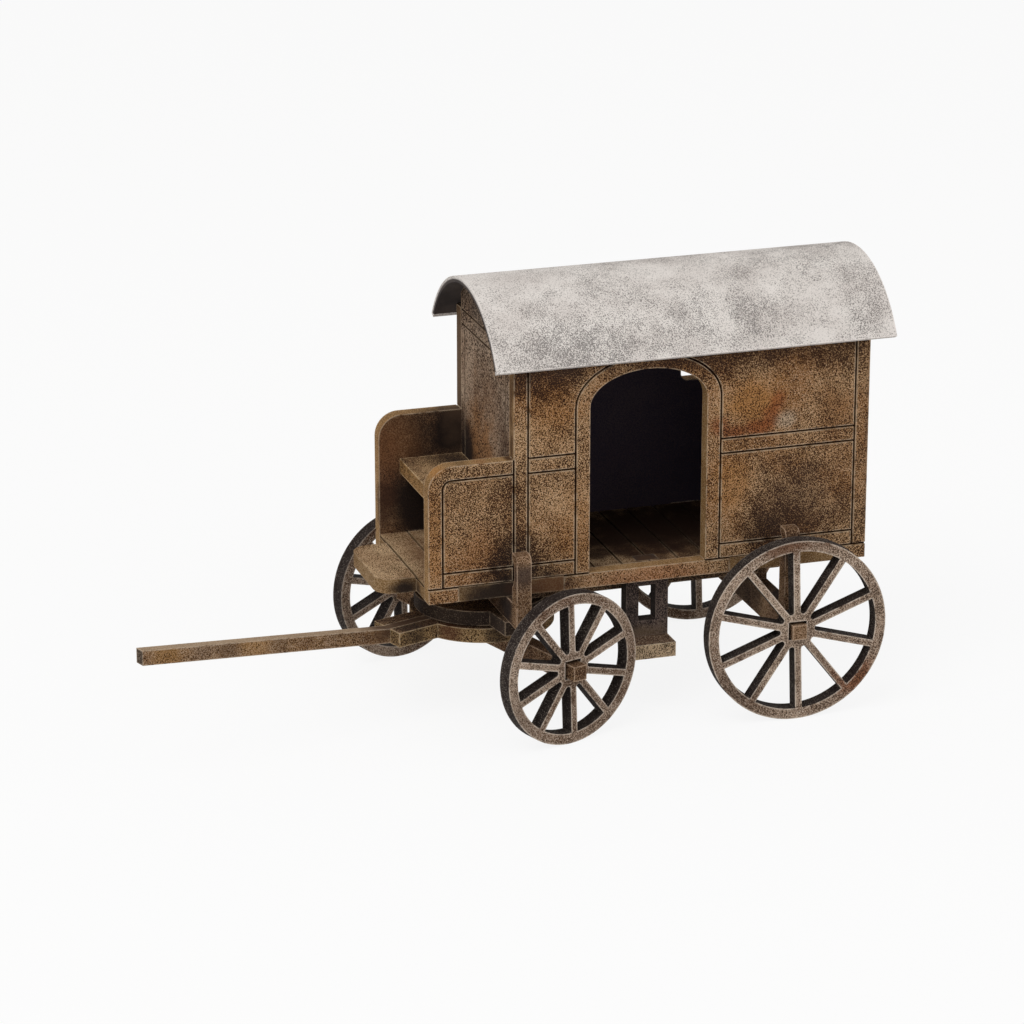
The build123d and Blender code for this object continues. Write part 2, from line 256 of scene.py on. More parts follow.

# %% [markdown]
# A soft spot is a blurred egg at a place, for wash, soot, rust, a rubbed patch or painted shade. Noise
# on its distance makes the rim ragged.

# %% Group: a soft spot
RAGGED_SCALE, RAGGED_REACH = 420.0, 0.9
SPOT_CORE = 0.25
soft_spot, given, leave = new_group("soft_spot", [
    ("Centre", VECTOR, (0, 0, 0)), ("Size", VECTOR, (0.01, 0.01, 0.01))], ["Spot"])
place = object_place(soft_spot)
away = vector_node(soft_spot, "SUBTRACT", place, given["Centre"])
reach = vector_node(soft_spot, "LENGTH", vector_node(soft_spot, "DIVIDE", away, given["Size"]))
ragged = math_node(soft_spot, "SUBTRACT", noise(soft_spot, place, RAGGED_SCALE, 4.0), 0.5)
reach = math_node(soft_spot, "ADD", reach, times(soft_spot, ragged, RAGGED_REACH))
soft_spot.links.new(ramp(soft_spot, reach, SPOT_CORE, 1.0, 1.0, 0.0), leave["Spot"])
tell_group(soft_spot)

# %% [markdown]
# The panel lines are cut into the solids, so no line is drawn here. The group finds their floors: level
# with the face, and a little below it.

# %% Group: floor of an engraved line
LINE_SHALLOW, LINE_DEEP = 0.04 * MM, 0.4 * MM
LEVEL_FACE = 0.9
engraved_line, given, leave = new_group("engraved_line", [
    ("Face Axis", VECTOR, (0, 1, 0)), ("Face Place", NUMBER, 0.0)], ["Line"])
along = vector_node(engraved_line, "DOT_PRODUCT", object_place(engraved_line), given["Face Axis"])
sunk = math_node(engraved_line, "SUBTRACT", given["Face Place"], along)
facing = vector_node(engraved_line, "DOT_PRODUCT", object_normal(engraved_line), given["Face Axis"])
below_face = math_node(engraved_line, "GREATER_THAN", sunk, LINE_SHALLOW)
above_core = math_node(engraved_line, "LESS_THAN", sunk, LINE_DEEP)
level_floor = math_node(engraved_line, "GREATER_THAN", facing, LEVEL_FACE)
line = times(engraved_line, times(engraved_line, below_face, above_core), level_floor)
engraved_line.links.new(line, leave["Line"])
tell_group(engraved_line)

# %% [markdown]
# The cab's inside is nearly black, from dark paint and painted shade. This group finds the faces that
# look inwards, as far forward as it is told.

# %% Group: faces that look inwards
INWARD_NEVER, INWARD_SURE = 0.4, 0.8
cab_inside, given, leave = new_group("cab_inside", [
    ("Inward Axis", VECTOR, (0, 1, 0)), ("Front End", NUMBER, 0.0)], ["Inside"])
facing = vector_node(cab_inside, "DOT_PRODUCT", object_normal(cab_inside), given["Inward Axis"])
length = add_node(cab_inside, "ShaderNodeSeparateXYZ", {0: object_place(cab_inside)}).outputs["X"]
behind = math_node(cab_inside, "LESS_THAN", length, given["Front End"])
turned = ramp(cab_inside, facing, INWARD_NEVER, INWARD_SURE)
cab_inside.links.new(times(cab_inside, turned, behind), leave["Inside"])
tell_group(cab_inside)

# %% [markdown]
# A nearly dry brush catches only the arrises. The Bevel node rounds the normal near an edge, so where
# it differs from the true normal there is an arris, and noise breaks the line up.

# %% Group: dry-brushed arrises
ARRIS_SURE, ARRIS_NEVER = 0.84, 0.98
BROKEN_SCALE, BROKEN_LOW, BROKEN_HIGH = 700.0, 0.34, 0.54
dry_brush, given, leave = new_group("dry_brush", [
    ("Offset", VECTOR, (0, 0, 0)), ("Width", NUMBER, 0.35 * MM)], ["Worn"])
rounded = add_node(dry_brush, "ShaderNodeBevel", {"Radius": given["Width"]}, samples=6).outputs[0]
true_normal = add_node(dry_brush, "ShaderNodeNewGeometry").outputs["True Normal"]
match = vector_node(dry_brush, "DOT_PRODUCT", rounded, true_normal)
arris = ramp(dry_brush, match, ARRIS_SURE, ARRIS_NEVER, 1.0, 0.0)
moved = vector_node(dry_brush, "ADD", object_place(dry_brush), given["Offset"])
broken = ramp(dry_brush, noise(dry_brush, moved, BROKEN_SCALE, 4.0, 0.7), BROKEN_LOW, BROKEN_HIGH)
dry_brush.links.new(times(dry_brush, arris, broken), leave["Worn"])
tell_group(dry_brush)

# %% [markdown]
# ## Starting and ending a finish
# Every finish on the wagon starts as an empty node tree and ends in the same way: the paint's grain
# drives a fine bump and a small change of roughness. The gloss is one number, so it is set on the
# shader itself.

# %% Starting and ending a finish
GRAIN_LOW, GRAIN_HIGH = 0.3, 0.7
DULLEST = 0.92


def new_paint(name):
    """A material with an empty node tree."""
    material = bpy.data.materials.new(name)
    material.use_nodes = True
    material.node_tree.nodes.clear()
    return material, material.node_tree


def end_tree(tree, shader, kind="ShaderNodeOutputMaterial"):
    """Sends a shader to the output of a material or of the world."""
    output = add_node(tree, kind)
    tree.links.new(shader.outputs[0], output.inputs["Surface"])


def end_paint(tree, colour, grain, smoothest, relief, depth, gloss):
    """Ends a finish with its colour, the grain's roughness and bump, and its gloss."""
    rough = ramp(tree, grain, GRAIN_LOW, GRAIN_HIGH, smoothest, DULLEST)
    bump = add_node(tree, "ShaderNodeBump", {"Height": grain, "Strength": relief, "Distance": depth})
    end_tree(tree, add_node(tree, "ShaderNodeBsdfPrincipled", {
        "Base Color": colour, "Roughness": rough, "Normal": bump.outputs[0], "Specular IOR Level": gloss}))


def dress(node_name, material):
    """Gives a cut piece its finish, in place of the plain one that it came with."""
    nodes[node_name].material_slots[0].material = material
    print(node_name, "is finished with", material.name)


print("roughness of the paint is at most", DULLEST)

# %% [markdown]
# ## Spots and washes
# Soft spots are laid one after another, like thin coats. A wash has no colour of its own: it makes
# the stipple thicker, so the board darkens in grains and not as a flat stain.

# %% Spots and washes
COVER_SCALE, COVER_SHIFT, COVER_SWING = 75.0, 0.3, 0.1
MOST_COVER = 0.76


def spot_mask(tree, centre, size):
    """A soft spot; the size is in millimetres."""
    return use_group(tree, soft_spot, Centre=centre, Size=[side * MM for side in size])["Spot"]


def lay_spots(tree, colour, spots):
    """Lays soft spots over a finish; each is (centre, size in mm, colour, strength)."""
    for centre, size, tint, strength in spots:
        colour = lay(tree, colour, spot_mask(tree, centre, size), strength, tint)
    return colour


def add_washes(tree, cover, washes):
    """Thickens the stipple at places; each is (centre, size in mm, strength)."""
    for centre, size, strength in washes:
        cover = math_node(tree, "ADD", cover, times(tree, spot_mask(tree, centre, size), strength))
    return cover


def uneven_cover(tree, cover, offset, washes):
    """How thick the stipple lies: it drifts all over, and is thicker in each wash."""
    shifted = (offset[0] + COVER_SHIFT, offset[1], offset[2])
    drift = use_group(tree, patches, Scale=COVER_SCALE, Level=0.5, Spread=0.2, Offset=shifted)["Patch"]
    thick = ramp(tree, drift, 0.0, 1.0, cover - COVER_SWING, cover + COVER_SWING)
    return math_node(tree, "MINIMUM", add_washes(tree, thick, washes), MOST_COVER)


print("thickest stipple:", MOST_COVER)

# %% [markdown]
# ## Colours of the wagon
# Most finishes have five colours: a deep and a light coat in patches, the stipple's dots, the cut
# edge, and what the dry brush left. The single colours are for spots.

# %% Colours
def palette(deep, light, dots, edge, brush):
    """Five colours of a finish."""
    return {"deep": paint(*deep), "light": paint(*light), "dots": paint(*dots),
            "edge": paint(*edge), "brush": paint(*brush)}


LINE_BLACK = paint(28, 9, 3)
CAB_DARK_AND_SHADE = paint(53, 49, 63)
FOOTWELL_DARK = paint(96, 70, 52)
# A black for wash, also laid as painted shade in corners, under the body and under the roof.
WASH_AND_SHADE_BLACK = paint(34, 27, 25)
# A smoky brown for soot, also laid under the eave as painted shade.
SMOKE_AND_SHADE = paint(62, 46, 40)
DARK_RUST = paint(84, 52, 36)
RUST = paint(138, 76, 42)
OCHRE = paint(162, 112, 60)
BODY_BROWN = palette(deep=(147, 105, 66), light=(175, 139, 101), dots=(43, 25, 16),
                     edge=(158, 124, 80), brush=(202, 179, 152))
print("body brown in linear colour:", [round(part, 3) for part in BODY_BROWN["deep"][:3]])

# %% [markdown]
# ## One recipe for painted sheet
# The real model looks undercoated, stippled, washed and dry-brushed. Each finish here follows that
# with its own colours, so one function makes them all: patches, tints, burnt edges, stipple, dark
# inner faces with dark paint and painted shade inside the cab, spots, engraved lines, worn arrises and
# a last painted shade over everything.

# %% Recipe: painted sheet
PATCH_SCALE, PATCH_SPREAD = 130.0, 0.16
CAP_STRENGTH, HOLLOW_STRENGTH, HOLLOW_DOTS = 0.85, 0.6, 0.5
INSIDE_STRENGTH, LINE_STRENGTH = 0.88, 0.97
EVERYWHERE = 1.0  # a metre ahead, past the whole wagon
SHEET_SMOOTHEST, SHEET_RELIEF, SHEET_DEPTH, SHEET_GLOSS = 0.74, 0.45, 0.05 * MM, 0.08


def inward_faces(tree, inward, front_end):
    """The faces that look inwards, behind a place along the wagon in metres."""
    return use_group(tree, cab_inside, Inward_Axis=tuple(inward), Front_End=front_end)["Inside"]


def painted_sheet(name, axis, colours, cover=0.5, dot_scale=DOT_SCALE, offset=(0, 0, 0), washes=(),
                  tints=(), spots=(), shade=(), faces=(), inward=None, cap=None, wear=0.6,
                  brush_width=0.35, burnt=0.85, dots=0.97, lights=0.5, edge_bloom_and_sheen=0.3, edge_dots=0.6,
                  edge_wear=1.0):
    """A tint lies under the stipple, a spot over it and a painted shade over all. Faces have engraved
    lines, inward is the way to the cab's inside, and cap is the way that a blackened end looks."""
    material, tree = new_paint(name)
    thick = uneven_cover(tree, cover, offset, washes)
    grain = use_group(tree, stipple, Scale=dot_scale, Cover=thick, Offset=offset)
    broad = use_group(tree, patches, Scale=PATCH_SCALE, Level=0.5, Spread=PATCH_SPREAD, Offset=offset)
    colour = mix_colour(tree, broad["Patch"], colours["deep"], colours["light"])
    colour = lay(tree, colour, grain["Lights"], lights, colours["brush"])
    colour = lay_spots(tree, colour, tints)
    edge = use_group(tree, burnt_edge, Sheet_Axis=tuple(axis))["Edge"]
    colour = lay(tree, colour, edge, burnt, colours["edge"])
    dotting = ramp(tree, edge, 0.0, 1.0, dots, dots * edge_dots)
    colour = lay(tree, colour, grain["Dots"], dotting, colours["dots"])
    if cap:
        sides = use_group(tree, burnt_edge, Sheet_Axis=tuple(cap))["Edge"]
        colour = lay(tree, colour, math_node(tree, "SUBTRACT", 1.0, sides), CAP_STRENGTH, WASH_AND_SHADE_BLACK)
    # Pale specks on the cut edges: partly a bloom on the board and partly a painted highlight.
    colour = lay(tree, colour, times(tree, edge, grain["Lights"]), edge_bloom_and_sheen, colours["brush"])
    if inward:
        hollow = inward_faces(tree, inward, EVERYWHERE)
        colour = lay(tree, colour, hollow, HOLLOW_STRENGTH, FOOTWELL_DARK)
        colour = lay(tree, colour, times(tree, hollow, grain["Dots"]), HOLLOW_DOTS, colours["dots"])
    colour = lay_spots(tree, colour, spots)
    if inward:
        # The cab's inner faces get dark paint with painted shade in it.
        inside = inward_faces(tree, inward, FRONT_WALL_X - SHEET / 2)
        colour = lay(tree, colour, inside, INSIDE_STRENGTH, CAB_DARK_AND_SHADE)
    worn = use_group(tree, dry_brush, Offset=offset, Width=brush_width * MM)["Worn"]
    worn = times(tree, worn, ramp(tree, edge, 0.0, 1.0, 1.0, edge_wear))
    for face_axis, face_place in faces:
        line = use_group(tree, engraved_line, Face_Axis=tuple(face_axis), Face_Place=face_place)["Line"]
        worn = times(tree, worn, math_node(tree, "SUBTRACT", 1.0, line))
        colour = lay(tree, colour, line, LINE_STRENGTH, LINE_BLACK)
    colour = lay(tree, colour, worn, wear, colours["brush"])
    # The last layer is painted shade, over everything.
    colour = lay_spots(tree, colour, shade)
    end_paint(tree, colour, grain["Grain"], SHEET_SMOOTHEST, SHEET_RELIEF, SHEET_DEPTH, SHEET_GLOSS)
    return material


print("one cell of the stipple's noise is", round(1 / (DOT_SCALE * MM), 2), "mm wide")

# %% [markdown]
# ## The left wall
# The wall towards us carries the doorway. Its paint is not even: it is darker by both stakes, black
# wash has gathered along the foot, wash and painted shade darken it under the eave, and there is a
# rusty smear on the upper rear panel.
# It could be painted by hand on an image, but soft spots, placed by their distance along the wall
# and their height, need no image and don't blur when they are seen close.

# %% Left wall: washes and spots
left_washes = [
    (spot_place(50, 4), (6, 6, 7), 0.4),
    (spot_place(49.8, 11), (4.5, 6, 10), 0.2),
    # Under the eave the wash stands partly for painted shade.
    (spot_place(46, 31), (10, 6, 7), 0.3),
    (spot_place(22, 31.5), (30, 6, 7), 0.26),
    (spot_place(3, 29), (7, 6, 8), 0.2),
    (spot_place(14, 6), (6.5, 6, 6.5), 0.2),
    (spot_place(10.5, 9), (9, 6, 9), 0.13),
    (spot_place(43, 24), (6, 6, 6), 0.07),
    (spot_place(3, 7), (4, 6, 5), 0.14),
]
WALL_END_BROWN = paint(68, 46, 32)
left_spots = [
    (spot_place(50, 4), (4.5, 6, 5.5), WASH_AND_SHADE_BLACK, 0.6),
    (spot_place(48.5, 1), (10, 6, 3.4), WASH_AND_SHADE_BLACK, 0.8),
    (spot_place(14.5, 5.2), (4, 6, 3.6), WASH_AND_SHADE_BLACK, 0.5),
    (spot_place(10, 8), (9, 6, 8), SMOKE_AND_SHADE, 0.3),
    # Under the eave: smoke and painted shade.
    (spot_place(22, 32), (30, 6, 4.5), SMOKE_AND_SHADE, 0.4),
    (spot_place(46, 32), (9, 6, 5), SMOKE_AND_SHADE, 0.55),
    (spot_place(46, 0), (5, 6, 2.5), DARK_RUST, 0.7),
    (spot_place(60.5, 18.4), (2.6, 6, 1.6), OCHRE, 0.6),
    (spot_place(56.6, 19.3), (1.6, 6, 1.1), WASH_AND_SHADE_BLACK, 0.7),
    (spot_place(53.6, 19.3), (2, 6, 0.9), RUST, 0.5),
    (spot_place(-0.6, 16), (1.4, 6, 24), SMOKE_AND_SHADE, 0.5),
    (spot_place(49.8, 20.5, OUTER_Y - 1.2 * MM), (0.9, 1.6, 16), WALL_END_BROWN, 0.9),
]
print("left wall:", len(left_washes), "washes and", len(left_spots), "spots")

# %% Left wall: tints and finish
PALE_RUB = paint(176, 156, 132)
REAR_TAN = paint(140, 98, 60)
PANEL_TAN = paint(150, 104, 66)
left_tints = [
    (spot_place(16, 23.5), (6, 6, 5), OCHRE, 0.8),
    (spot_place(21.0, 20.6), (1.8, 6, 1.8), RUST, 0.55),
    (spot_place(18.8, 19.4), (3.2, 6, 1.5), RUST, 0.7),
    (spot_place(15.7, 19.8), (3.0, 6, 1.6), RUST, 0.75),
    (spot_place(13.8, 21.3), (2, 6, 2.2), RUST, 0.7),
    (spot_place(12.9, 23.2), (1.8, 6, 2.4), RUST, 0.65),
    (spot_place(5, 21), (4, 6, 5), REAR_TAN, 0.6),
    (spot_place(11.8, 20.5), (2, 6, 1.9), PALE_RUB, 0.75),
    (spot_place(19, 12.5), (4, 6, 6), OCHRE, 0.6),
    (spot_place(44, 24), (5, 6, 6), OCHRE, 0.35),
    (spot_place(41, 8), (4, 6, 9), OCHRE, 0.25),
    (spot_place(54, 7), (4, 6, 6), PANEL_TAN, 0.35),
    (spot_place(60, 9), (2.5, 6, 12), OCHRE, 0.4),
    (spot_place(31, 0.5), (12, 6, 3), RUST, 0.4),
]
left_paint = painted_sheet("left_wall_paint", LEFT, BODY_BROWN, cover=0.45, washes=left_washes,
                           tints=left_tints, spots=left_spots, faces=[(LEFT, OUTER_Y)],
                           inward=-LEFT, burnt=0.75, wear=0.75)
dress("side_wall_left", left_paint)

# %% [markdown]
# ## The right wall
# Only its inner face shows from the camera: behind the seat, dark and rusty, with painted shade in the
# corner by the front wall and under the seat, and through the doorway, nearly black from dark paint and
# painted shade. The outside does not show, so it gets the left wall's colours with fewer spots.

# %% Right wall
FAR_END_BROWN = paint(84, 66, 52)
FAR_PANEL_BROWN = paint(116, 78, 48)
FAR_FOOT_BROWN = paint(70, 46, 34)
right_washes = [
    (spot_place(50, 4, RIGHT_Y), (8, 6, 7), 0.4),
    (spot_place(12, 6, RIGHT_Y), (9, 6, 7), 0.3),
    # Under the eave the wash stands partly for painted shade.
    (spot_place(26, 31, RIGHT_Y), (26, 6, 6), 0.28),
]
right_spots = [
    (spot_place(50, 3, RIGHT_Y), (6, 3, 5), WASH_AND_SHADE_BLACK, 0.6),
    (spot_place(12, 5, RIGHT_Y), (5, 3, 4), WASH_AND_SHADE_BLACK, 0.4),
    # Black wash and painted shade on the inner face: in the corner by the front wall, and under the seat.
    (spot_place(50.5, 15.5, RIGHT_INNER_Y), (8, 3, 6.5), WASH_AND_SHADE_BLACK, 0.95),
    (spot_place(54.5, 5.5, RIGHT_INNER_Y), (9, 3, 9), WASH_AND_SHADE_BLACK, 0.95),
    (spot_place(49.4, 26, RIGHT_Y + SHEET / 2), (4, 4, 18), FAR_END_BROWN, 0.9),
    (spot_place(58.5, 14.5, RIGHT_INNER_Y), (5, 1.4, 5), FAR_PANEL_BROWN, 0.35),
    (spot_place(60.5, 6, RIGHT_INNER_Y), (2.6, 1.4, 5), FAR_FOOT_BROWN, 0.6),
    (spot_place(-0.6, 16, RIGHT_Y), (1.4, 6, 24), SMOKE_AND_SHADE, 0.5),
]
right_tints = [
    (spot_place(30, 10, RIGHT_Y), (8, 6, 5), RUST, 0.7),
    (spot_place(40, 24, RIGHT_Y), (9, 6, 6), OCHRE, 0.6),
    (spot_place(60, 12, RIGHT_INNER_Y), (3, 2, 8), RUST, 0.6),
]
right_paint = painted_sheet("right_wall_paint", LEFT, BODY_BROWN, cover=0.45, offset=(0.11, 0.02, 0.05),
                            washes=right_washes, tints=right_tints, spots=right_spots,
                            faces=[(-LEFT, OUTER_Y)], inward=LEFT, burnt=0.75, wear=0.75)
dress("side_wall_right", right_paint)

# %% [markdown]
# ## The end walls
# The front wall is greyer than the sides, with a coarser stipple and warmer brown low down behind the
# seat. The rear wall does not show, so it gets the same colours.

# %% End walls
END_GREY = palette(deep=(122, 94, 72), light=(162, 140, 119), dots=(40, 26, 17),
                   edge=(80, 60, 46), brush=(174, 152, 128))
COARSE_DOT_SCALE = 5200.0
END_SHADE = paint(56, 34, 24)
SEAT_BACK_TAN = paint(146, 102, 62)
front_spots = [
    # Black wash and the painted shadow of the roof's curve, at the top.
    (spot_place(49, 35.5, 0), (6, 16, 4.5), WASH_AND_SHADE_BLACK, 0.5),
    (spot_place(49, 16, 9 * MM), (6, 4, 14), END_SHADE, 0.45),
    # Black wash and painted shade in the corner behind the seat, by the far panel.
    (spot_place(49, 14, -8.5 * MM), (6, 6, 6.5), WASH_AND_SHADE_BLACK, 0.95),
]
front_tints = [(spot_place(49, 15, -2 * MM), (6, 10, 9), SEAT_BACK_TAN, 0.8)]
front_paint = painted_sheet("front_wall_paint", FORWARD, END_GREY, cover=0.4, dot_scale=COARSE_DOT_SCALE,
                            offset=(0.2, 0.1, 0), tints=front_tints, spots=front_spots,
                            faces=[(FORWARD, FRONT_WALL_X)], inward=-FORWARD, wear=0.4)
dress("front_wall", front_paint)
rear_spots = [(spot_place(0, 5, 0), (6, 14, 8), WASH_AND_SHADE_BLACK, 0.6)]
rear_paint = painted_sheet("rear_wall_paint", FORWARD, END_GREY, offset=(0.4, 0.3, 0),
                           spots=rear_spots, faces=[(-FORWARD, -REAR_WALL_X)], inward=FORWARD,
                           wear=0.4)
dress("rear_wall", rear_paint)

# %% [markdown]
# ## Floor, footboard and seat
# Boards that are handled are paler and more rubbed. The plank lines are cut across the floor. Inside
# the cab the floor is nearly black from dark paint and painted shade, its lines too, so a last painted
# shade lies over everything there.

# %% Floor and footboard
BOARD_TAN = palette(deep=(156, 122, 88), light=(202, 170, 131), dots=(60, 38, 20),
                    edge=(122, 94, 58), brush=(200, 176, 146))
CAB_FLOOR_DARK_AND_SHADE = paint(54, 34, 24)
CAB_SHADE = paint(40, 26, 20)
FOOTWELL_BROWN = paint(98, 66, 44)
floor_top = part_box("floor")[1][2]
floor_spots = [
    # The first spot is dark paint and painted shade on the cab's floor.
    (spot_place(22, 2, 0), (34, 18, 8), CAB_FLOOR_DARK_AND_SHADE, 0.9),
    (spot_place(55.5, 2, 1 * MM), (6, 14, 3), FOOTWELL_BROWN, 0.75),
    (spot_place(51.5, 0.5, OUTER_Y), (8, 3, 5), WASH_AND_SHADE_BLACK, 0.95),
    (spot_place(44.5, 0.5, OUTER_Y), (6, 3, 5), DARK_RUST, 0.7),
    (spot_place(62.5, 0.5, 7.5 * MM), (3.2, 2.4, 2.2), WASH_AND_SHADE_BLACK, 0.95),
]
# Painted shade over the cab's floor, laid last.
floor_shade = [(spot_place(24, 2, -3 * MM), (34, 15, 8), CAB_SHADE, 0.9)]
floor_paint = painted_sheet("floor_paint", UP, BOARD_TAN, cover=0.36, offset=(0, 0.2, 0.3),
                            spots=floor_spots, shade=floor_shade, faces=[(UP, floor_top)],
                            burnt=0.8, wear=0.35)
dress("floor", floor_paint)

# %% Seat
SEAT_BROWN = palette(deep=(126, 95, 68), light=(184, 149, 108), dots=(40, 27, 19),
                     edge=(148, 108, 58), brush=(206, 178, 138))
# Black wash and painted shade at the back of the seat, against the front wall.
seat_spots = [(spot_place(51, 12.4, -2 * MM), (5.5, 16, 3), WASH_AND_SHADE_BLACK, 0.85)]
seat_paint = painted_sheet("seat_paint", UP, SEAT_BROWN, cover=0.45, offset=(0.5, 0.2, 0.1),
                           spots=seat_spots, burnt=0.8, wear=0.9, edge_dots=1.0)
dress("seat_board", seat_paint)

# %% [markdown]
# ## Chassis and turntable
# The chassis pieces are darker: brown paint over burnt board. The lower disc turns with the pole, and
# its cut edge is ochre, blackened where glue and wash ran, so its spots are placed from the king pin
# along the pole's direction.

# %% Chassis and turntable
GEAR_BROWN = palette(deep=(92, 70, 52), light=(130, 104, 78), dots=(36, 28, 24),
                     edge=(40, 34, 32), brush=(160, 140, 118))
gear_axes = {"chassis_rail_left": LEFT, "chassis_rail_right": LEFT,
             "king_pin": UP, "upper_turntable": UP}
for count, (name, axis) in enumerate(gear_axes.items()):
    dress(name, painted_sheet(f"{name}_paint", axis, GEAR_BROWN, offset=(0.07 * count, 0.3, 0.1),
                              wear=0.9))
DISC_OCHRE = palette(deep=(92, 68, 54), light=(128, 98, 73), dots=(34, 23, 18),
                     edge=(154, 124, 84), brush=(198, 174, 140))
DISC_SPOT_HEIGHT = 6
king_pin = Vector(record["behaviour"]["joints"][0]["pos_m"])
disc_spots = []
for ahead, aside, size, tint, strength in ((9, 5, 3, DARK_RUST, 0.7), (4, 9.5, 2.6, WASH_AND_SHADE_BLACK, 0.75),
                                           (-3, 10, 3, DARK_RUST, 0.6), (13, 1.5, 3, WASH_AND_SHADE_BLACK, 0.7)):
    centre = king_pin + (pole_way * ahead + GEAR_LEFT * aside) * MM
    disc_spots.append((tuple(centre), (size, size, DISC_SPOT_HEIGHT), tint, strength))
disc_paint = painted_sheet("lower_turntable_paint", UP, DISC_OCHRE, cover=0.42, offset=(0.4, 0.3, 0.1),
                           spots=disc_spots, burnt=0.9, wear=0.9, edge_dots=1.0)
dress("lower_turntable", disc_paint)

# %% [markdown]
# ## Stakes and axle plates
# The stakes beside the body were brushed paler, with a sooty patch at the top, and the plates under
# the body are nearly black, from dark paint and painted shade. One loop paints both plates, because
# only places and sizes differ.

# %% Stakes and axle plates
STAKE_BROWN = palette(deep=(108, 80, 56), light=(150, 118, 86), dots=(40, 24, 16),
                      edge=(106, 80, 58), brush=(192, 165, 140))
STAKE_SOOT = paint(60, 48, 43)
PLATE_SIDE = 12.4 * MM
REAR_STAKE_REACH = 5 * MM
for name, length, beam_top, depth in (("front_bolster", 49.4, -1.8, 4.4),
                                      ("rear_axle", 12.4, -3.9, 1.1)):
    stake_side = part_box(name)[1][1] if name == "front_bolster" else OUTER_Y + REAR_STAKE_REACH
    stake_spots = [
        # Dark paint and painted shade under the body and on the plate's beam.
        (spot_place(length, -6, 0), (6, 14, 7), WASH_AND_SHADE_BLACK, 0.6),
        (spot_place(length, beam_top, PLATE_SIDE), (6, 5, depth), WASH_AND_SHADE_BLACK, 0.95),
        (spot_place(length, 4.2, stake_side), (3, 2.0, 2.6), STAKE_SOOT, 0.8),
    ]
    dress(name, painted_sheet(f"{name}_paint", FORWARD, STAKE_BROWN, cover=0.42,
                              offset=(length * 0.01, 0.5, 0.1), spots=stake_spots, burnt=0.5,
                              wear=0.9, edge_dots=0.9))
axle_paint = painted_sheet("front_axle_paint", pole_way, STAKE_BROWN, cover=0.45,
                           offset=(0.8, 0.5, 0.3), burnt=0.6, wear=0.9, edge_dots=0.9)
dress("front_axle", axle_paint)

# %% [markdown]
# ## The step
# The step's frame is nearly black, paler at the foot, and its tread has a light rubbed edge.

# %% Step
STEP_BLACK = palette(deep=(75, 64, 60), light=(110, 94, 86), dots=(34, 29, 29),
                     edge=(40, 34, 32), brush=(128, 114, 104))
STEP_TAN = palette(deep=(92, 68, 54), light=(132, 104, 82), dots=(40, 31, 27),
                   edge=(186, 160, 128), brush=(214, 194, 166))
STEP_FOOT_TAN = paint(124, 104, 82)
STEP_TOP_BROWN = paint(76, 56, 42)
step_low, step_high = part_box("step_frame")
step_middle = (step_low[0] + step_high[0]) / 2
step_spots = [((step_middle, step_high[1], step_low[2]), (4, 2, 2.2), STEP_FOOT_TAN, 0.5),
              ((step_middle, step_high[1], step_high[2]), (3, 3, 0.8), STEP_TOP_BROWN, 0.95)]
dress("step_frame", painted_sheet("step_frame_paint", LEFT, STEP_BLACK, offset=(0.3, 0.4, 0.1),
                                  spots=step_spots, burnt=0.7))
dress("step_tread", painted_sheet("step_tread_paint", UP, STEP_TAN, cover=0.34,
                                  offset=(0.1, 0.4, 0.5), burnt=0.92, wear=0.9, edge_dots=1.0))

# %% [markdown]
# ## The pole
# The long pole is mottled: yellow, grey, sooty and rusty stretches follow each other from the tip. Its
# end is black from the laser. The tints are placed by their distance from the tip, in a row.

# %% Pole
POLE_BROWN = palette(deep=(112, 80, 54), light=(144, 110, 74), dots=(46, 28, 16),
                     edge=(158, 136, 112), brush=(200, 180, 158))
POLE_YELLOW = paint(152, 112, 62)
POLE_GREY = paint(132, 112, 94)
POLE_FOOT_BROWN = paint(70, 50, 38)
FOOT_INSET = 4 * MM
POLE_FACE = 1.5 * MM
pole_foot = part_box("lower_turntable")[1]
pole_tip = Vector(pole_mount["pos_m"])
foot_place = (pole_foot[0] - FOOT_INSET, pole_foot[1] - FOOT_INSET, pole_foot[2])
pole_spots = [(foot_place, (9, 9, 3), POLE_FOOT_BROWN, 0.9)]
pole_tints = []
POLE_STRETCHES = [
    (4, 4, POLE_YELLOW, 0.6), (9, 3, POLE_GREY, 0.5), (13, 3, SMOKE_AND_SHADE, 0.5),
    (17, 4, POLE_YELLOW, 0.5), (21, 2.6, SMOKE_AND_SHADE, 0.5), (25, 3, DARK_RUST, 0.4),
    (29, 3, POLE_GREY, 0.4), (32, 2.4, SMOKE_AND_SHADE, 0.5), (36, 3, POLE_YELLOW, 0.5),
]
for reach, size, tint, strength in POLE_STRETCHES:
    place = pole_tip - pole_way * reach * MM + GEAR_LEFT * POLE_FACE
    pole_tints.append((tuple(place), (size, 2.4, 9), tint, strength))
pole_paint = painted_sheet("pole_paint", GEAR_LEFT, POLE_BROWN, cover=0.34, offset=(0.6, 0.1, 0.2),
                           tints=pole_tints, spots=pole_spots, cap=pole_way, wear=0.8, edge_dots=0.25)
dress("pole", pole_paint)

# %% [markdown]
# ## Wheels
# A dry brush left the wheels' flat faces a pinkish beige, while their treads and the sides of the
# spokes stayed as the laser burnt them, nearly black with cold grey specks that are partly a bloom on
# the board and partly a painted highlight. Each wheel has a rusty, a brown, a pale and a sooty part,
# placed by shares of its own box.

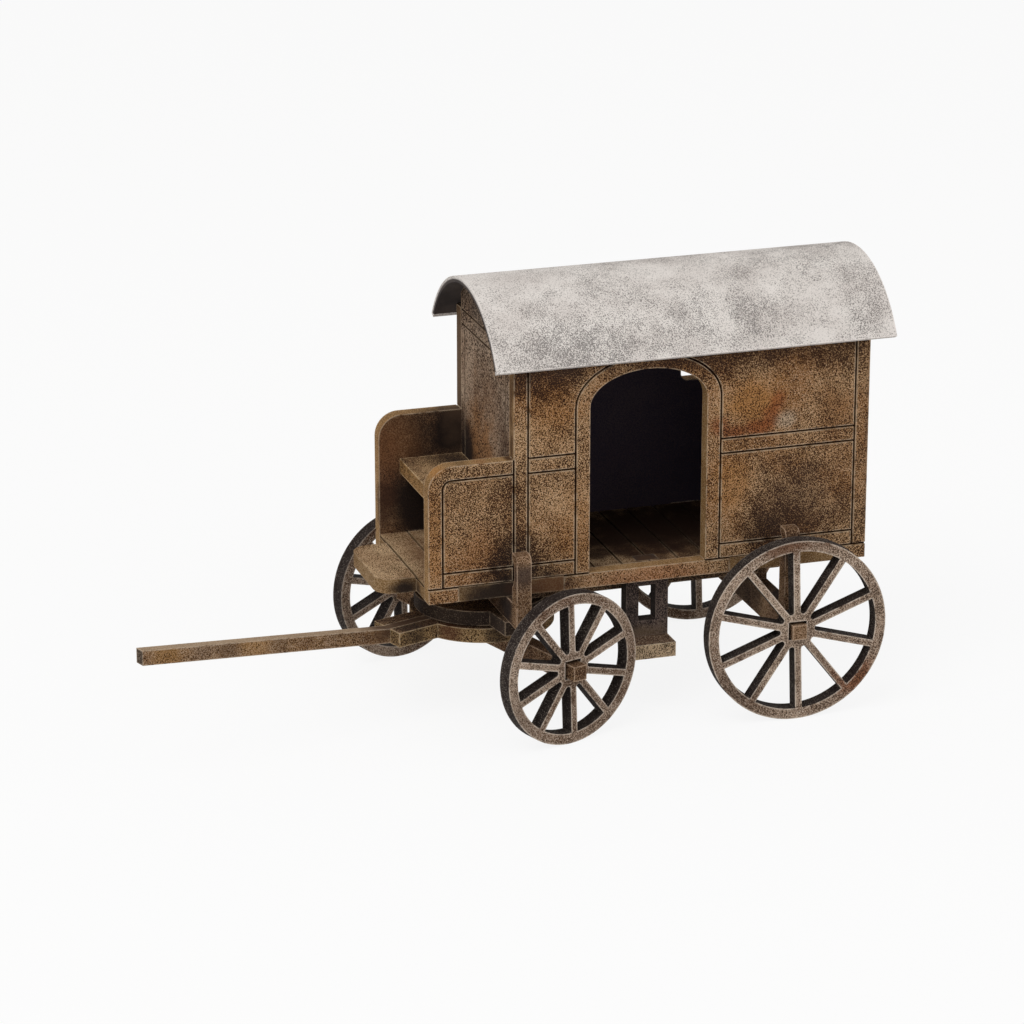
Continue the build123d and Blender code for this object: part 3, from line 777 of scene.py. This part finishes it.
# %% Wheels
WHEEL_BEIGE = palette(deep=(116, 90, 71), light=(166, 143, 123), dots=(40, 26, 19),
                      edge=(30, 25, 25), brush=(212, 197, 181))
WHEEL_ZONES = [
    ((0.15, 0.2), (5, 5, 4), paint(142, 88, 56), 0.75),
    ((0.6, 1.0), (10, 5, 3), paint(104, 72, 52), 0.8),
    ((0.5, 0.5), (8, 5, 8), paint(186, 166, 146), 0.35),
    ((0.85, 0.25), (5, 5, 6), paint(92, 74, 62), 0.5),
]
wheel_axes = {"rear_wheel_left": LEFT, "rear_wheel_right": LEFT,
              "front_wheel_left": GEAR_LEFT, "front_wheel_right": GEAR_LEFT}
for count, (name, axis) in enumerate(wheel_axes.items()):
    low, high = (Vector(corner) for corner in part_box(name))
    wheel_tints = []
    for (along, up), size, tint, strength in WHEEL_ZONES:
        centre = (low.x + along * (high.x - low.x), high.y, low.z + up * (high.z - low.z))
        wheel_tints.append((centre, size, tint, strength))
    dress(name, painted_sheet(f"{name}_paint", axis, WHEEL_BEIGE, cover=0.43,
                              offset=(0.2, 0.09 * count, 0.4), tints=wheel_tints, burnt=0.97,
                              wear=0.9, brush_width=0.5, dots=0.84, lights=0.7, edge_bloom_and_sheen=0.2,
                              edge_dots=0.1, edge_wear=0.15))

# %% [markdown]
# ## The roof
# The roof is thin card bent over the end walls, painted a warm light grey. Darker grey has been
# stippled over it in drifts, so its tone is a fine salt and pepper rather than one flat colour. Its
# underside is painted dark, as painted shade. The distance from the roof's axis tells the underside
# from the top, and makes the inner half of the card's edge dark at both ends. Along the eaves the cut
# edge stays pale.

# %% Shape and colours of the roof
ROOF_RISE = 8.5 * MM
roof_low, roof_high = (Vector(corner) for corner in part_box("roof"))
half_roof = (roof_high.y - roof_low.y) / 2
ROOF_RADIUS = (half_roof ** 2 + ROOF_RISE ** 2) / (2 * ROOF_RISE)
ROOF_AXIS = (0, 0, roof_high.z - ROOF_RADIUS)
ROOF_DEEP, ROOF_LIGHT = paint(198, 190, 184), paint(221, 215, 209)
ROOF_DOTS, ROOF_BRUSH = paint(98, 93, 91), paint(227, 221, 216)
ROOF_RIM = paint(232, 225, 219)
# Dark colours for the underside: painted shade.
UNDER_SHADE_DEEP, UNDER_SHADE_LIGHT = paint(56, 49, 47), paint(80, 71, 66)
roof_washes = [
    (spot_place(40, 32.5), (16, 6, 5), 0.28),
    (spot_place(24.5, 35.5, 10 * MM), (4.5, 6, 5), 0.24),
    (spot_place(16, 34.5, 11 * MM), (5, 6, 4.5), 0.2),
    (spot_place(1, 33.5), (5, 6, 3), 0.2),
]
print("roof bent to a radius of", round(ROOF_RADIUS / MM, 2), "mm")

# %% Roof finish
DRIFT_COVER, DAB_COVER, LEAST_COVER = 0.25, 0.22, 0.04
ROOF_DOT_STRENGTH, ROOF_PALE_STRENGTH, RIM_STRENGTH = 0.8, 0.5, 0.9
RIM_WIDTH = 0.4 * MM
CARD_INNER, CARD_OUTER = 0.5 * MM, 0.25 * MM
EAVE_FROM, EAVE_TO = 0.4 * MM, 0.5 * MM
ROOF_SMOOTHEST, ROOF_RELIEF, ROOF_DEPTH, ROOF_GLOSS = 0.78, 0.35, 0.04 * MM, 0.25


def card_patches(tree, scale, offset, spread=0.2):
    """Broad patches on the card."""
    return use_group(tree, patches, Scale=scale, Level=0.5, Spread=spread, Offset=offset)["Patch"]


def card_underside(tree):
    """The inner half of the card's thickness, above the eaves' cut edge."""
    place = object_place(tree)
    away = vector_node(tree, "SUBTRACT", place, ROOF_AXIS)
    reach = vector_node(tree, "LENGTH", vector_node(tree, "MULTIPLY", away, (0, 1, 1)))
    inner = ramp(tree, reach, ROOF_RADIUS - CARD_INNER, ROOF_RADIUS - CARD_OUTER, 1.0, 0.0)
    height = add_node(tree, "ShaderNodeSeparateXYZ", {0: place}).outputs["Z"]
    return times(tree, inner, ramp(tree, height, roof_low.z + EAVE_FROM, roof_low.z + EAVE_TO))


def roof_card():
    """Warm grey card with drifts of fine grey stipple and a few darker dabs."""
    material, tree = new_paint("roof_paint")
    colour = mix_colour(tree, card_patches(tree, 140.0, (0.1, 0.7, 0.2)), ROOF_DEEP, ROOF_LIGHT)
    drift = times(tree, card_patches(tree, 85.0, (0.9, 0.1, 0.4)), DRIFT_COVER)
    dabs = times(tree, card_patches(tree, 300.0, (0.2, 0.6, 0.4), 0.16), DAB_COVER)
    cover = add_washes(tree, math_node(tree, "ADD", drift, dabs), roof_washes)
    cover = math_node(tree, "ADD", cover, LEAST_COVER)
    grain = use_group(tree, stipple, Scale=DOT_SCALE, Cover=cover, Offset=(0.3, 0.3, 0.3))
    colour = lay(tree, colour, grain["Dots"], ROOF_DOT_STRENGTH, ROOF_DOTS)
    colour = lay(tree, colour, grain["Lights"], ROOF_PALE_STRENGTH, ROOF_BRUSH)
    worn = use_group(tree, dry_brush, Offset=(0.3, 0.1, 0.2), Width=RIM_WIDTH)["Worn"]
    colour = lay(tree, colour, worn, RIM_STRENGTH, ROOF_RIM)
    # The underside and the inner half of the card's edge get the dark colours; on the underside they are
    # painted shade.
    under = mix_colour(tree, card_patches(tree, 190.0, (0.4, 0.2, 0.1)), UNDER_SHADE_DEEP, UNDER_SHADE_LIGHT)
    colour = mix_colour(tree, card_underside(tree), colour, under)
    end_paint(tree, colour, grain["Grain"], ROOF_SMOOTHEST, ROOF_RELIEF, ROOF_DEPTH, ROOF_GLOSS)
    return material


dress("roof", roof_card())
print("materials:", len(bpy.data.materials))

# %% [markdown]
# ## The table
# The table is plain and pale. More light would bleach the wagon too, so its white depends on the kind
# of ray: rays that show the table, directly or in a reflection, find it mostly glowing white, and the
# rest of it is matte, which keeps a soft shadow. Rays that carry light find it matte.

# %% The table
TABLE_SIDE = 6.0
TABLE_GREY = (0.82, 0.82, 0.82, 1)
WHITE = (1, 1, 1, 1)
WHITE_SHARE = 0.88


def rays_that_see(tree):
    """1 for rays that show a surface, directly or by reflection, and 0 for rays that carry light."""
    rays = add_node(tree, "ShaderNodeLightPath").outputs
    mirrored = math_node(tree, "MAXIMUM", rays["Is Glossy Ray"], rays["Is Transmission Ray"])
    return math_node(tree, "MAXIMUM", rays["Is Camera Ray"], mirrored)


bpy.ops.object.select_all(action="DESELECT")
bpy.ops.mesh.primitive_plane_add(size=TABLE_SIDE, location=(0, 0, 0))
table = bpy.context.object
table.name = "table"
table_paint, tree = new_paint("table_paint")
matte = add_node(tree, "ShaderNodeBsdfDiffuse", {"Color": TABLE_GREY})
white = add_node(tree, "ShaderNodeEmission", {"Color": WHITE, "Strength": 1.0})
share = times(tree, rays_that_see(tree), WHITE_SHARE)
blend = add_node(tree, "ShaderNodeMixShader", {0: share, 1: matte.outputs[0], 2: white.outputs[0]})
end_tree(tree, blend)
table.data.materials.append(table_paint)
print("table side:", round(table.dimensions.x, 1), "m")

# %% [markdown]
# ## Light
# The world fills the shadows at about half strength, and is white where it is seen, so that low views
# have no grey horizon. A broad lamp stands high on the camera's side, and a weaker one opposite.

# %% Light
FILL_STRENGTH = 0.55
FILL_COLOUR = (1.0, 0.99, 0.98, 1)
world = bpy.data.worlds.new("studio")
world.use_nodes = True
bpy.context.scene.world = world
tree = world.node_tree
tree.nodes.clear()
fill = add_node(tree, "ShaderNodeBackground", {"Color": FILL_COLOUR, "Strength": FILL_STRENGTH})
white = add_node(tree, "ShaderNodeBackground", {"Color": WHITE, "Strength": 1.0})
seen = rays_that_see(tree)
sky = add_node(tree, "ShaderNodeMixShader", {0: seen, 1: fill.outputs[0], 2: white.outputs[0]})
end_tree(tree, sky, "ShaderNodeOutputWorld")


def way_from(azimuth, elevation):
    """The direction from the wagon to a lamp or the camera, from two angles in degrees."""
    turn = math.radians(azimuth)
    lift = math.radians(elevation)
    return Vector((math.sin(turn) * math.cos(lift), -math.cos(turn) * math.cos(lift), math.sin(lift)))


def soft_lamp(name, azimuth, elevation, distance, size, power):
    """A square lamp aimed at the wagon's middle."""
    way = way_from(azimuth, elevation)
    bpy.ops.object.light_add(type="AREA", location=way * distance)
    lamp = bpy.context.object
    lamp.name = name
    lamp.data.size = size
    lamp.data.energy = power
    lamp.rotation_euler = way.to_track_quat("Z", "Y").to_euler()
    print(name, "stands", round(lamp.location.z, 2), "m up")


soft_lamp("key_lamp", azimuth=130, elevation=55, distance=0.8, size=0.5, power=2.6)
soft_lamp("fill_lamp", azimuth=215, elevation=35, distance=0.9, size=0.6, power=1.1)

# %% [markdown]
# ## Camera
# The angles, distance and lens were fitted to the body's edges and the wheels' outlines in the
# photograph. The camera has no shift, so other views stay framed as well.

# %% Camera
CAMERA_AZIMUTH = 162.2
CAMERA_ELEVATION = 19.24
CAMERA_DISTANCE = 0.5582
CAMERA_LENS = 147.4
SENSOR_WIDTH = 36.0
AIM = Vector((REAR_X + 45.645 * MM, 0.0, 25.75 * MM))
back = way_from(CAMERA_AZIMUTH, CAMERA_ELEVATION)
bpy.ops.object.camera_add(location=AIM + back * CAMERA_DISTANCE)
camera = bpy.context.object
camera.rotation_euler = back.to_track_quat("Z", "Y").to_euler()
camera.data.lens = CAMERA_LENS
camera.data.sensor_width = SENSOR_WIDTH
bpy.context.scene.camera = camera
bpy.context.scene.view_settings.view_transform = "Standard"
print("camera at", [round(part, 3) for part in camera.location])
